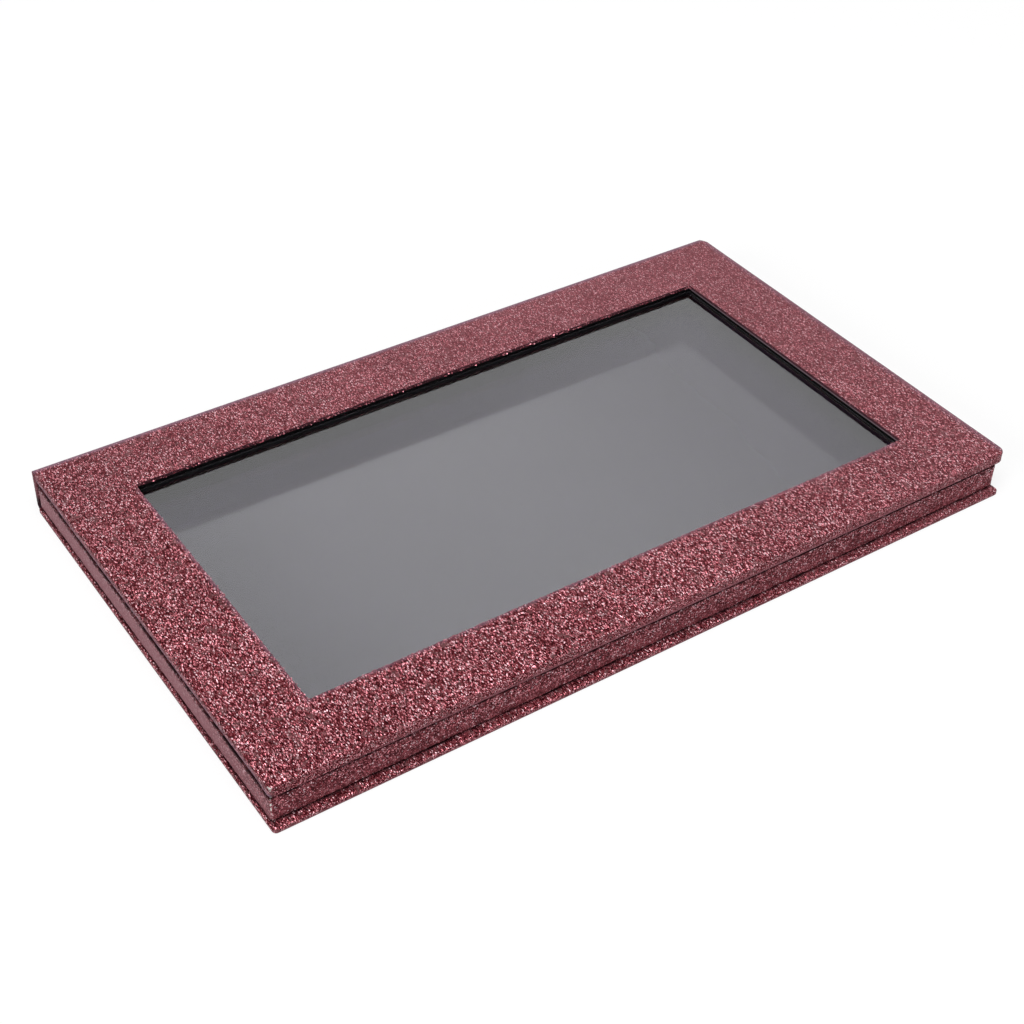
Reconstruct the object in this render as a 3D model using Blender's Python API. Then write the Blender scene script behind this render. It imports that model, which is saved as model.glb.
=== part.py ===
"""Book-style magnetic makeup palette: a wrapped board case with a film window in its lid.

Three boards (base, spine, lid) are wrapped in glitter paper and joined by two paper creases. A tray
of four board walls stands on the base round a magnetic sheet, and disc magnets hold the lid shut.
Metres, +Z up. The origin is the middle of the footprint, on the table. +Y is the spine side.
"""
import math

import bmesh
import bpy
from mathutils import Matrix, Vector

# Case: sizes that are chosen
BASE_LENGTH = 0.2000
LID_OVERHANG = 0.0016
LID_SHIFT = 0.0014
SPINE_TRIM = 0.0004
CASE_DEPTH = 0.1205
CASE_HEIGHT = 0.0113
FRONT_LEDGE = 0.0020
SIDE_LEDGE = 0.0006

# Sheet and board thicknesses
GLITTER_PAPER = 0.00030
LINING_PAPER = 0.00012
BASE_BOARD = 0.00085
SPINE_BOARD = 0.00120
LID_BOARD = 0.00150
FILM = 0.00020
TAPE = 0.00008
EDGE_PAPER = 0.00012
MAGNETIC_SHEET = 0.00040

# Clearances
GLUE_LINE = 0.00005
RUN_CLEARANCE = 0.0003
FOLD_CLEARANCE = 0.0001

# Edges and corners
LID_CORNER = 0.0018
BASE_CORNER = 0.0010
TRAY_CORNER = 0.0005
LID_TOP_ROUND = 0.0005
LID_UNDER_ROUND = 0.0003
BASE_ROUND = 0.0004
TRAY_ROUND = 0.0002
PAPER_BEND = 0.00005
SPINE_END_ROUND = 0.0004
CUT_CORNER = 0.0003

# Creases
FOLD_RADIUS = 0.0011
FOLD_LIP = 0.0010
SPINE_FLAP = 0.0080

# Window, set by the borders round it
BORDER_LEFT = 0.0182
BORDER_RIGHT = 0.0188
BORDER_FRONT = 0.0172
BORDER_BACK = 0.0180
WINDOW_CORNER = 0.0004
FILM_MARGIN = 0.0050
TAPE_MARGIN = 0.0004
LINER_INSET = 0.0015
LINER_REVEAL = 0.0003
TURN_IN_STOP = 0.0010

# Tray
WALL_WIDTH = 0.0080
TRAY_TURN_DOWN = 0.0020
SHEET_MARGIN = 0.0003
ADHESIVE_MARGIN = 0.0010

# Magnets
MAGNET_RADIUS = 0.0030
MAGNET_THICKNESS = 0.0010
MAGNET_CHAMFER = 0.0001
MAGNET_INSET = 0.0380

# Facets
CORNER_STEPS = 4
EDGE_STEPS = 3
FOLD_STEPS = 10
MAGNET_SIDES = 32

# Past the far side of what a cutter cuts
OVERRUN = 0.0020

# Levels, from the table up
FRONT = -CASE_DEPTH / 2
BACK = CASE_DEPTH / 2
LAYER = GLITTER_PAPER + GLUE_LINE
BASE_BOARD_LOW = LAYER
BASE_BOARD_TOP = BASE_BOARD_LOW + BASE_BOARD
BASE_TOP = BASE_BOARD_TOP + LAYER
ADHESIVE_LOW = BASE_BOARD_TOP + GLUE_LINE
SHEET_LOW = ADHESIVE_LOW + TAPE + GLUE_LINE
SHEET_TOP = SHEET_LOW + MAGNETIC_SHEET

LID_TOP = CASE_HEIGHT
LID_BOARD_TOP = LID_TOP - LAYER
LID_BOARD_LOW = LID_BOARD_TOP - LID_BOARD
LID_WRAP_LOW = LID_BOARD_LOW - LAYER
TAPE_TOP = LID_BOARD_LOW - GLUE_LINE
FILM_TOP = TAPE_TOP - TAPE - GLUE_LINE
LINER_TOP = min(FILM_TOP - FILM, LID_WRAP_LOW) - GLUE_LINE
LINER_LOW = LINER_TOP - LINING_PAPER

TRAY_LOW = BASE_TOP + GLUE_LINE
TRAY_TOP = LINER_LOW - RUN_CLEARANCE
WALL_TOP = TRAY_TOP - LAYER

# Creases: each axis is the centre of the rolled paper
AXIS_Y = BACK - FOLD_RADIUS
BASE_AXIS_Z = FOLD_RADIUS
LID_AXIS_Z = LID_TOP - FOLD_RADIUS
LIP_REACH = math.hypot(FOLD_LIP, FOLD_RADIUS)
PAPER_START = math.sqrt(LIP_REACH**2 - (FOLD_RADIUS - GLITTER_PAPER) ** 2) + FOLD_CLEARANCE
BOARD_START = LIP_REACH + FOLD_CLEARANCE

# Spine, standing behind the tray
SPINE_BOARD_BACK = BACK - LAYER
SPINE_BOARD_FRONT = SPINE_BOARD_BACK - SPINE_BOARD
SPINE_FLAP_FRONT = SPINE_BOARD_FRONT - LAYER
SPINE_LINER_FRONT = SPINE_FLAP_FRONT - GLUE_LINE - LINING_PAPER
SPINE_BOARD_LOW = BASE_AXIS_Z + BOARD_START
SPINE_BOARD_TOP = LID_AXIS_Z
SPINE_WRAP_LOW = BASE_AXIS_Z + PAPER_START

# Lengths and middles along X: the whole case is centred on the origin
LID_LENGTH = BASE_LENGTH + LID_OVERHANG
BOX_LEFT = min(-BASE_LENGTH / 2, LID_SHIFT - LID_LENGTH / 2)
BOX_RIGHT = max(BASE_LENGTH / 2, LID_SHIFT + LID_LENGTH / 2)
BASE_X = -(BOX_LEFT + BOX_RIGHT) / 2
LID_X = BASE_X + LID_SHIFT
SPINE_X = BASE_X + LID_SHIFT / 2
SPINE_LENGTH = (BASE_LENGTH + LID_LENGTH) / 2 - SPINE_TRIM


def rectangle(middle_x, length, front, back):
    """Plan rectangle as (left, right, front, back)."""
    return (middle_x - length / 2, middle_x + length / 2, front, back)


def grown(rect, by):
    """The rectangle with every side moved outwards."""
    return (rect[0] - by, rect[1] + by, rect[2] - by, rect[3] + by)


def with_back(rect, back):
    """The rectangle with its back side moved."""
    return (rect[0], rect[1], rect[2], back)


BASE_RECT = rectangle(BASE_X, BASE_LENGTH, FRONT, AXIS_Y - BOARD_START)
LID_FRONT = FRONT + FRONT_LEDGE
LID_RECT = rectangle(LID_X, LID_LENGTH, LID_FRONT, AXIS_Y - PAPER_START)
TRAY_RECT = rectangle(
    BASE_X, BASE_LENGTH - 2 * SIDE_LEDGE, FRONT + FRONT_LEDGE, SPINE_LINER_FRONT - RUN_CLEARANCE
)
BASE_BOARD_RECT = with_back(grown(BASE_RECT, -LAYER), BASE_RECT[3])
LID_BOARD_RECT = with_back(grown(LID_RECT, -LAYER), AXIS_Y - BOARD_START)
WALL_RECT = grown(TRAY_RECT, -LAYER)
WALL_INNER = grown(WALL_RECT, -WALL_WIDTH)
WELL_RECT = grown(WALL_INNER, -LAYER)
WINDOW_RECT = (
    LID_RECT[0] + BORDER_LEFT,
    LID_RECT[1] - BORDER_RIGHT,
    LID_FRONT + BORDER_FRONT,
    BACK - BORDER_BACK,
)
FILM_RECT = grown(WINDOW_RECT, FILM_MARGIN)
MAGNET_Y = (WALL_RECT[2] + WALL_INNER[2]) / 2


def clear_scene():
    """Start from an empty scene."""
    for old in list(bpy.data.objects):
        bpy.data.objects.remove(old, do_unlink=True)


def material(name, colour, roughness, metallic=0.0, alpha=1.0):
    """A Principled material in one colour."""
    made = bpy.data.materials.new(name)
    made.use_nodes = True
    shader = made.node_tree.nodes["Principled BSDF"]
    shader.inputs["Base Color"].default_value = (*colour, 1.0)
    shader.inputs["Roughness"].default_value = roughness
    shader.inputs["Metallic"].default_value = metallic
    shader.inputs["Alpha"].default_value = alpha
    made.diffuse_color = (*colour, alpha)
    return made


def glitter_paper():
    return material("glitter_paper", (0.262, 0.080, 0.090), 0.45, 0.30)


def grey_board():
    return material("grey_board", (0.330, 0.310, 0.280), 0.90)


def black_paper():
    return material("black_paper", (0.012, 0.012, 0.013), 0.70)


def clear_film():
    return material("clear_film", (0.900, 0.910, 0.920), 0.05, 0.0, 0.15)


def white_tape():
    return material("white_tape", (0.600, 0.600, 0.580), 0.60)


def magnet_sheet():
    return material("magnet_sheet", (0.060, 0.059, 0.063), 0.25)


def nickel():
    return material("nickel", (0.600, 0.590, 0.560), 0.25, 1.0)


def outline(rect, front_corner, back_corner, level):
    """Plan outline with rounded corners, counter-clockwise from the front left corner."""
    left, right, front, back = rect
    corners = (
        (left, front, 1, 1, front_corner, math.pi),
        (right, front, -1, 1, front_corner, 1.5 * math.pi),
        (right, back, -1, -1, back_corner, 0.0),
        (left, back, 1, -1, back_corner, 0.5 * math.pi),
    )
    points = []
    for x, y, side_x, side_y, radius, start in corners:
        for step in range(CORNER_STEPS + 1):
            angle = start + 0.5 * math.pi * step / CORNER_STEPS
            points.append(
                (
                    x + side_x * radius + radius * math.cos(angle),
                    y + side_y * radius + radius * math.sin(angle),
                    level,
                )
            )
    return points


def finish(name, work, look):
    """Turn a bmesh into a named object with outward faces."""
    bmesh.ops.recalc_face_normals(work, faces=work.faces)
    mesh = bpy.data.meshes.new(name)
    work.to_mesh(mesh)
    work.free()
    mesh.shade_smooth()
    mesh.set_sharp_from_angle(angle=math.radians(35))
    made = bpy.data.objects.new(name, mesh)
    bpy.context.scene.collection.objects.link(made)
    if look:
        mesh.materials.append(look)
    return made


def loft(name, outlines, look, ring=False):
    """Skin a stack of outlines, capped at both ends or, as a ring, closed on itself."""
    work = bmesh.new()
    loops = [[work.verts.new(point) for point in points] for points in outlines]
    pairs = list(zip(loops, loops[1:]))
    if ring:
        pairs.append((loops[-1], loops[0]))
    else:
        work.faces.new(loops[0])
        work.faces.new(loops[-1])
    for lower, upper in pairs:
        for here in range(len(lower)):
            after = (here + 1) % len(lower)
            work.faces.new((lower[here], lower[after], upper[after], upper[here]))
    return finish(name, work, look)


def block(name, rect, low, high, look):
    """A plain box over a plan rectangle."""
    left, right, front, back = rect
    work = bmesh.new()
    bmesh.ops.create_cube(work, size=1.0)
    for vert in work.verts:
        vert.co.x = right if vert.co.x > 0 else left
        vert.co.y = back if vert.co.y > 0 else front
        vert.co.z = high if vert.co.z > 0 else low
    return finish(name, work, look)


def slab(name, rect, low, high, corners, look):
    """A board with upright sides and rounded corners in plan."""
    front_corner, back_corner = corners
    return loft(
        name,
        [outline(rect, front_corner, back_corner, level) for level in (low, high)],
        look,
    )


def frame(name, outer, outer_corner, inner, inner_corner, low, high, look):
    """A flat rectangular frame."""
    return loft(
        name,
        [
            outline(outer, outer_corner, outer_corner, low),
            outline(outer, outer_corner, outer_corner, high),
            outline(inner, inner_corner, inner_corner, high),
            outline(inner, inner_corner, inner_corner, low),
        ],
        look,
        ring=True,
    )


def rounded_slab(name, rect, low, high, corner, low_round, high_round, look):
    """A slab whose lower and upper edges are quarter rounds."""
    outlines = []
    for step in range(EDGE_STEPS + 1):
        angle = 0.5 * math.pi * step / EDGE_STEPS
        inset = low_round * (1 - math.sin(angle))
        level = low + low_round * (1 - math.cos(angle))
        outlines.append(outline(grown(rect, -inset), corner - inset, corner - inset, level))
    for step in range(EDGE_STEPS + 1):
        angle = 0.5 * math.pi * step / EDGE_STEPS
        inset = high_round * (1 - math.cos(angle))
        level = high - high_round * (1 - math.sin(angle))
        outlines.append(outline(grown(rect, -inset), corner - inset, corner - inset, level))
    return loft(name, outlines, look)


def cut(piece, cutter):
    """Take the cutter's volume out of the piece and hide the cutter."""
    cutter.hide_render = True
    cutter.display_type = "WIRE"
    step = piece.modifiers.new("cut_" + cutter.name, "BOOLEAN")
    step.operation = "DIFFERENCE"
    step.solver = "EXACT"
    step.object = cutter


def disc(name, place, low, high, radius, chamfer, look):
    """A round disc, chamfered where a chamfer is given."""
    middle_x, middle_y = place
    rings = [(radius, low), (radius, high)]
    if chamfer:
        rings = [
            (radius - chamfer, low),
            (radius, low + chamfer),
            (radius, high - chamfer),
            (radius - chamfer, high),
        ]
    outlines = []
    for reach, level in rings:
        turns = [2 * math.pi * side / MAGNET_SIDES for side in range(MAGNET_SIDES)]
        outlines.append(
            [(middle_x + reach * math.cos(t), middle_y + reach * math.sin(t), level) for t in turns]
        )
    return loft(name, outlines, look)


def crease(name, middle_x, length, axis_z, turn, lead, look):
    """Rolled paper strip: a flat lead, a quarter roll about the crease axis and a lip.

    turn is -1 at the foot of the spine, where the lead meets the base wrap and the lip stands up
    behind the spine, and 1 at its head, where the lead meets the spine wrap and the lip lies on top.
    """
    sides = []
    for reach in (FOLD_RADIUS, FOLD_RADIUS - GLITTER_PAPER):
        side = []
        for step in range(FOLD_STEPS + 1):
            angle = 0.5 * math.pi * step / FOLD_STEPS
            side.append((AXIS_Y + reach * math.cos(angle), axis_z + turn * reach * math.sin(angle)))
        upright_end = lead if turn > 0 else FOLD_LIP
        level_end = FOLD_LIP if turn > 0 else lead
        side.insert(0, (AXIS_Y + reach, axis_z - turn * upright_end))
        side.append((AXIS_Y - level_end, axis_z + turn * reach))
        sides.append(side)
    section = sides[0] + sides[1][::-1]
    ends = [middle_x - length / 2, middle_x + length / 2]
    return loft(name, [[(x, y, z) for y, z in section] for x in ends], look)


def wrap_three_sides(name, rect, board_rect, low, high, corner, rounds, paper):
    """Paper over a board from low to high, turned round three edges and open at the back."""
    low_round, high_round = rounds
    past = rect[3] + OVERRUN
    wrap = rounded_slab(name, with_back(rect, past), low, high, corner, low_round, high_round, paper)
    trim_rect = (rect[0] - OVERRUN, rect[1] + OVERRUN, rect[3], past + OVERRUN)
    cut(wrap, block(name + "_back_trim", trim_rect, low - OVERRUN, high + OVERRUN, None))
    room_rect = with_back(grown(board_rect, GLUE_LINE), past)
    room_corners = (corner - GLITTER_PAPER, PAPER_BEND)
    room_low = low + GLITTER_PAPER
    room_high = high - GLITTER_PAPER
    cut(wrap, slab(name + "_board_room", room_rect, room_low, room_high, room_corners, None))
    return wrap


def build_base(paper, board):
    """Base board and the paper that wraps it, turned in under the tray walls."""
    corners = (BASE_CORNER - LAYER, PAPER_BEND)
    slab("base_board", BASE_BOARD_RECT, BASE_BOARD_LOW, BASE_BOARD_TOP, corners, board)
    rounds = (BASE_ROUND, BASE_ROUND)
    wrap = wrap_three_sides(
        "base_wrap", BASE_RECT, BASE_BOARD_RECT, 0, BASE_TOP, BASE_CORNER, rounds, paper
    )
    opening = with_back(grown(WALL_INNER, TURN_IN_STOP), BASE_RECT[3] + OVERRUN)
    middle = (BASE_BOARD_LOW + BASE_BOARD_TOP) / 2
    cut(wrap, block("base_turn_in_opening", opening, middle, BASE_TOP + OVERRUN, None))


def build_tray(paper, board, lining):
    """Four board walls on the base, wrapped outside and lined inside."""
    left, right, front, back = WALL_RECT
    in_left, in_right, in_front, in_back = WALL_INNER
    front_wall = block("tray_wall_front", (left, right, front, in_front), TRAY_LOW, WALL_TOP, board)
    block("tray_wall_back", (left, right, in_back, back), TRAY_LOW, WALL_TOP, board)
    side_front = in_front + GLUE_LINE
    side_back = in_back - GLUE_LINE
    block("tray_wall_left", (left, in_left, side_front, side_back), TRAY_LOW, WALL_TOP, board)
    block("tray_wall_right", (in_right, right, side_front, side_back), TRAY_LOW, WALL_TOP, board)
    build_tray_wrap(paper)
    build_tray_lining(lining)
    return front_wall


def build_tray_wrap(paper):
    """Paper up the outside of the walls, over the rim and a little way down inside."""
    outlines = [outline(TRAY_RECT, TRAY_CORNER, TRAY_CORNER, TRAY_LOW)]
    for step in range(EDGE_STEPS + 1):
        angle = 0.5 * math.pi * step / EDGE_STEPS
        inset = TRAY_ROUND * (1 - math.cos(angle))
        level = TRAY_TOP - TRAY_ROUND * (1 - math.sin(angle))
        corner = TRAY_CORNER - inset
        outlines.append(outline(grown(TRAY_RECT, -inset), corner, corner, level))
    for step in range(EDGE_STEPS + 1):
        angle = 0.5 * math.pi * step / EDGE_STEPS
        spread = TRAY_ROUND * (1 - math.sin(angle))
        level = TRAY_TOP - TRAY_ROUND * (1 - math.cos(angle))
        corner = CUT_CORNER + spread
        outlines.append(outline(grown(WELL_RECT, spread), corner, corner, level))
    behind = grown(WELL_RECT, GLITTER_PAPER)
    behind_corner = CUT_CORNER + GLITTER_PAPER
    foot = TRAY_TOP - TRAY_TURN_DOWN
    outlines.append(outline(WELL_RECT, CUT_CORNER, CUT_CORNER, foot))
    outlines.append(outline(behind, behind_corner, behind_corner, foot))
    outlines.append(outline(behind, behind_corner, behind_corner, TRAY_TOP - GLITTER_PAPER))
    inside = grown(TRAY_RECT, -GLITTER_PAPER)
    outlines.append(outline(inside, PAPER_BEND, PAPER_BEND, TRAY_TOP - GLITTER_PAPER))
    outlines.append(outline(inside, PAPER_BEND, PAPER_BEND, TRAY_LOW))
    return loft("tray_wrap", outlines, paper, ring=True)


def build_tray_lining(lining):
    """Black paper on the inner faces of the walls, below the turned-down glitter paper."""
    outer = grown(WALL_INNER, -GLUE_LINE)
    inner = grown(outer, -LINING_PAPER)
    top = TRAY_TOP - TRAY_TURN_DOWN - GLUE_LINE
    frame("tray_lining", outer, CUT_CORNER + LINING_PAPER, inner, CUT_CORNER, TRAY_LOW, top, lining)


def build_floor(sheet, tape):
    """Magnetic sheet and the adhesive under it."""
    sheet_rect = grown(WALL_INNER, -GLUE_LINE - LINING_PAPER - SHEET_MARGIN)
    corners = (CUT_CORNER, CUT_CORNER)
    slab("magnetic_sheet", sheet_rect, SHEET_LOW, SHEET_TOP, corners, sheet)
    tape_rect = grown(sheet_rect, -ADHESIVE_MARGIN)
    slab("sheet_adhesive", tape_rect, ADHESIVE_LOW, ADHESIVE_LOW + TAPE, corners, tape)


def build_spine(paper, board, lining):
    """Spine board, its wrap with the ends turned in, and its lining."""
    board_rect = rectangle(SPINE_X, SPINE_LENGTH - 2 * LAYER, SPINE_BOARD_FRONT, SPINE_BOARD_BACK)
    spine_board = block("spine_board", board_rect, SPINE_BOARD_LOW, SPINE_BOARD_TOP, board)
    outer = rectangle(SPINE_X, SPINE_LENGTH, SPINE_FLAP_FRONT, BACK)
    wrap_top = LID_AXIS_Z - FOLD_LIP
    wrap = slab("spine_wrap", outer, SPINE_WRAP_LOW, wrap_top, (PAPER_BEND, SPINE_END_ROUND), paper)
    inside = SPINE_LENGTH - 2 * GLITTER_PAPER
    room = rectangle(SPINE_X, inside, SPINE_BOARD_FRONT - GLUE_LINE, BACK - GLITTER_PAPER)
    cut(wrap, block("spine_board_room", room, -OVERRUN, CASE_HEIGHT, None))
    between = SPINE_LENGTH - 2 * SPINE_FLAP
    middle = rectangle(SPINE_X, between, SPINE_FLAP_FRONT - OVERRUN, SPINE_BOARD_FRONT)
    cut(wrap, block("spine_flap_opening", middle, -OVERRUN, CASE_HEIGHT, None))
    liner_rect = rectangle(
        SPINE_X, SPINE_LENGTH - 2 * LINER_INSET, SPINE_LINER_FRONT, SPINE_FLAP_FRONT - GLUE_LINE
    )
    liner = block("spine_liner", liner_rect, SPINE_BOARD_LOW, SPINE_BOARD_TOP, lining)
    return [spine_board, wrap, liner]


def build_creases(paper):
    """The two rolled stretches of the wrap: the lower stays with the base, the upper with the spine."""
    base_lead = BOARD_START - GLUE_LINE
    crease("base_crease", BASE_X, BASE_LENGTH - 2 * BASE_ROUND, BASE_AXIS_Z, -1, base_lead, paper)
    lid_lead = FOLD_LIP - GLUE_LINE
    length = SPINE_LENGTH - 2 * SPINE_END_ROUND
    return crease("lid_crease", SPINE_X, length, LID_AXIS_Z, 1, lid_lead, paper)


def build_lid(paper, board, lining, film, tape):
    """Lid board with its window, the wrap, the film under the window and the inner lining."""
    edge_outer = grown(WINDOW_RECT, EDGE_PAPER)
    board_hole = grown(edge_outer, GLUE_LINE)
    lid_board = slab(
        "lid_board", LID_BOARD_RECT, LID_BOARD_LOW, LID_BOARD_TOP, (LID_CORNER - LAYER, PAPER_BEND), board
    )
    hole_corner = WINDOW_CORNER + EDGE_PAPER + GLUE_LINE
    cut(
        lid_board,
        slab("board_window", board_hole, LINER_LOW, LID_TOP, (hole_corner, hole_corner), None),
    )
    wrap = build_lid_wrap(paper)
    strip = frame(
        "window_edge_strip",
        edge_outer,
        WINDOW_CORNER + EDGE_PAPER,
        WINDOW_RECT,
        WINDOW_CORNER,
        FILM_TOP + GLUE_LINE,
        LID_BOARD_TOP,
        lining,
    )
    corners = (CUT_CORNER, CUT_CORNER)
    pane = slab("window_film", FILM_RECT, FILM_TOP - FILM, FILM_TOP, corners, film)
    tape_outer = grown(FILM_RECT, -TAPE_MARGIN)
    tape_inner = grown(board_hole, TAPE_MARGIN)
    tape_low = TAPE_TOP - TAPE
    band = frame("film_tape", tape_outer, CUT_CORNER, tape_inner, hole_corner, tape_low, TAPE_TOP, tape)
    outer = with_back(grown(LID_RECT, -LINER_INSET), LID_BOARD_RECT[3])
    hole = grown(WINDOW_RECT, -LINER_REVEAL)
    liner = frame("lid_liner", outer, CUT_CORNER, hole, WINDOW_CORNER, LINER_LOW, LINER_TOP, lining)
    return [lid_board, wrap, strip, pane, band, liner]


def build_lid_wrap(paper):
    """Glitter paper over the lid board, turned in on three sides and cut at the window."""
    rounds = (LID_UNDER_ROUND, LID_TOP_ROUND)
    wrap = wrap_three_sides(
        "lid_wrap", LID_RECT, LID_BOARD_RECT, LID_WRAP_LOW, LID_TOP, LID_CORNER, rounds, paper
    )
    opening = with_back(grown(FILM_RECT, TURN_IN_STOP), LID_RECT[3] + OVERRUN)
    middle = (LID_BOARD_LOW + LID_BOARD_TOP) / 2
    cut(wrap, block("lid_turn_in_opening", opening, LID_WRAP_LOW - OVERRUN, middle, None))
    window_corners = (WINDOW_CORNER, WINDOW_CORNER)
    cut(wrap, slab("wrap_window", WINDOW_RECT, LID_WRAP_LOW, LID_TOP + OVERRUN, window_corners, None))
    return wrap


def build_magnets(front_wall, lid_board, metal):
    """Two pairs of discs, let into the tray's front wall and the underside of the lid board."""
    wide = MAGNET_RADIUS + GLUE_LINE
    tray_high = WALL_TOP - GLUE_LINE
    tray_low = tray_high - MAGNET_THICKNESS
    lid_low = LID_BOARD_LOW + GLUE_LINE
    lid_high = lid_low + MAGNET_THICKNESS
    lid_magnets = []
    for side, word in ((-1, "left"), (1, "right")):
        place = (BASE_X + side * (BASE_LENGTH / 2 - MAGNET_INSET), MAGNET_Y)
        disc("tray_magnet_" + word, place, tray_low, tray_high, MAGNET_RADIUS, MAGNET_CHAMFER, metal)
        pocket_low = tray_low - GLUE_LINE
        cut(front_wall, disc("tray_pocket_" + word, place, pocket_low, WALL_TOP + OVERRUN, wide, 0, None))
        magnet = disc("lid_magnet_" + word, place, lid_low, lid_high, MAGNET_RADIUS, MAGNET_CHAMFER, metal)
        lid_magnets.append(magnet)
        pocket_high = lid_high + GLUE_LINE
        recess = disc("lid_pocket_" + word, place, LID_BOARD_LOW - OVERRUN, pocket_high, wide, 0, None)
        cut(lid_board, recess)
    return lid_magnets


def fold_axes():
    """Empties on the two crease axes: the spine folds on the lower, the lid on the upper."""
    lower = bpy.data.objects.new("spine_fold_axis", None)
    lower.location = (0, AXIS_Y, BASE_AXIS_Z)
    upper = bpy.data.objects.new("lid_fold_axis", None)
    upper.location = (0, 0, LID_AXIS_Z - BASE_AXIS_Z)
    upper.parent = lower
    for axis in (lower, upper):
        bpy.context.scene.collection.objects.link(axis)
    return lower, upper


def hang(pieces, axis, level):
    """Parent pieces, and what cuts them, to a crease axis without moving them."""
    place = Vector((0, AXIS_Y, level))
    for piece in pieces:
        for child in (piece, *[step.object for step in piece.modifiers]):
            child.parent = axis
            child.matrix_parent_inverse = Matrix.Translation(-place)


def build():
    """Build the whole palette, closed."""
    clear_scene()
    paper = glitter_paper()
    board = grey_board()
    lining = black_paper()
    build_base(paper, board)
    front_wall = build_tray(paper, board, lining)
    tape = white_tape()
    build_floor(magnet_sheet(), tape)
    spine = [*build_spine(paper, board, lining), build_creases(paper)]
    lid = build_lid(paper, board, lining, clear_film(), tape)
    lid += build_magnets(front_wall, lid[0], nickel())
    spine_axis, lid_axis = fold_axes()
    hang(spine, spine_axis, BASE_AXIS_Z)
    hang(lid, lid_axis, LID_AXIS_Z)


build()
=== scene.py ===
"""Looks of the book-style magnetic palette: glitter paper skins, black linings and a film window.

Metres, in the part's own frame: X along the case, +Y to the spine, +Z up. Every skin is a numpy
surface in place at the origin.
"""
from math import cos, pi, radians, sin

import bmesh
import bpy
import numpy as np
from mathutils import Matrix, Vector


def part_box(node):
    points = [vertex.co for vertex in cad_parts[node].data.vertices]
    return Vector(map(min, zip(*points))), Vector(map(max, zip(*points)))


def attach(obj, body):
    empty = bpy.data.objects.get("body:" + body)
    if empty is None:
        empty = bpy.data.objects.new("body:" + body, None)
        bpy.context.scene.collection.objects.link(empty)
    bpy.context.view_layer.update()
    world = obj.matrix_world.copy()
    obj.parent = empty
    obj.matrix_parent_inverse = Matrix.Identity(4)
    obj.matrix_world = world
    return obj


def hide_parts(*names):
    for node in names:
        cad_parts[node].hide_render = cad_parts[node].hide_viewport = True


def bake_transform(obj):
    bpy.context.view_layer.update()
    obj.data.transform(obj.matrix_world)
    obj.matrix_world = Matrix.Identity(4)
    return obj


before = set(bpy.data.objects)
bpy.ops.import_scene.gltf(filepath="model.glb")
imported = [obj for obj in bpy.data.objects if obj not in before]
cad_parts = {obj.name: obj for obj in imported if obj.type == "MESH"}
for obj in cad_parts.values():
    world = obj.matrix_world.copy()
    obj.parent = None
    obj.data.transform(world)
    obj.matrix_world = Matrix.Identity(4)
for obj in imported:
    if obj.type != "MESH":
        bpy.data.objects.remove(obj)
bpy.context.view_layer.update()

MM = 0.001

# Thickness of the glitter paper and of the window's edging
PAPER = 0.30 * MM
EDGE_PAPER = 0.12 * MM

# Creases: the roll and the lip past it
FOLD_RADIUS = 1.1 * MM
FOLD_LIP = 1.0 * MM

# Lid: its corners, the round of its top, the swell, hem and hang of its paper, the share of the
# hang that is left where the paper turns in, and how far it turns in
LID_CORNER = 1.1 * MM
LID_RIGHT_CORNER = 2.1 * MM
LID_TOP_ROUND = 0.5 * MM
LID_SWELL = 0.04 * MM
LID_HEM = 0.32 * MM
LID_HANG = 0.86 * MM
LEFT_HANG_RUN = 6.0 * MM
HANG_LEFT = 0.29
TURN_IN = 9.0 * MM

# Window: its corner, how far the paper's cut is shifted on its left, right, front and back sides,
# and how far from its middle these sides are
WINDOW_CORNER = 0.15 * MM
CUT_SHIFT = np.array([-0.03, -0.15, -0.02, -0.20]) * MM
WINDOW_SIDES = np.array([82.0, 41.3]) * MM

# Base: its corners, the round of its edges, the turn-in's rows and half its middle line
BASE_CORNER = 1.0 * MM
BASE_ROUND = 0.4 * MM
BASE_ROWS = np.array([0.50, 0.62, 1.3, 1.68, 1.85, 2.05, 5.0]) * MM
BASE_LINE = 50 * MM

# Tray: its corners, the step behind the hanging paper, the hollow at its foot, the cut of its
# paper, and the round, corners and turn-down of its well
TRAY_CORNER = 0.5 * MM
TRAY_STEP = 0.34 * MM
TRAY_STEP_DROP = 0.80 * MM
TRAY_BACK_DROP = 1.20 * MM
TRAY_STEP_ROUND = 0.5 * MM
TRAY_FOOT_DEPTH = 0.33 * MM
TRAY_CUT = 0.12 * MM
TRAY_CUT_LIP = 0.06 * MM
WELL_ROUND = 0.2 * MM
WELL_CORNER = 0.3 * MM
TRAY_TURN_DOWN = 2.0 * MM

# Spine's ends, and the crown, the cut edge and half the middle line of the magnetic sheet
SPINE_END_ROUND = 0.4 * MM
SPINE_FLAP = 8.0 * MM
SPINE_HOLLOW = 0.05 * MM
SHEET_CROWN = 0.16 * MM
SHEET_ROUND = 0.06 * MM
SHEET_LINE = 42 * MM

# How near to a side still counts as that side, for the marks on the skins
SKIN_SIDE = 0.6 * MM
RIM_SIDE = 1.4 * MM

# Loose glitter: how many flakes, the seed of their places, and their half thickness
FLAKE_COUNT = 3600
FLAKE_SEED = 41
FLAKE_THICK = 0.015 * MM

# Light from the surroundings on the case, as a share of the white that the eye sees
WORLD_LIGHT = 0.42

# Points round each ring: along X, along Y, in each corner
FINE = (400, 220, 5)
PLAIN = (200, 120, 6)


# Shapes

def arc(x, y, radius, turn):
    """Places round a middle: the radius times the cosine and sine of each turn."""
    return np.stack([x + radius * np.cos(turn), y + radius * np.sin(turn)], 1)


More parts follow.
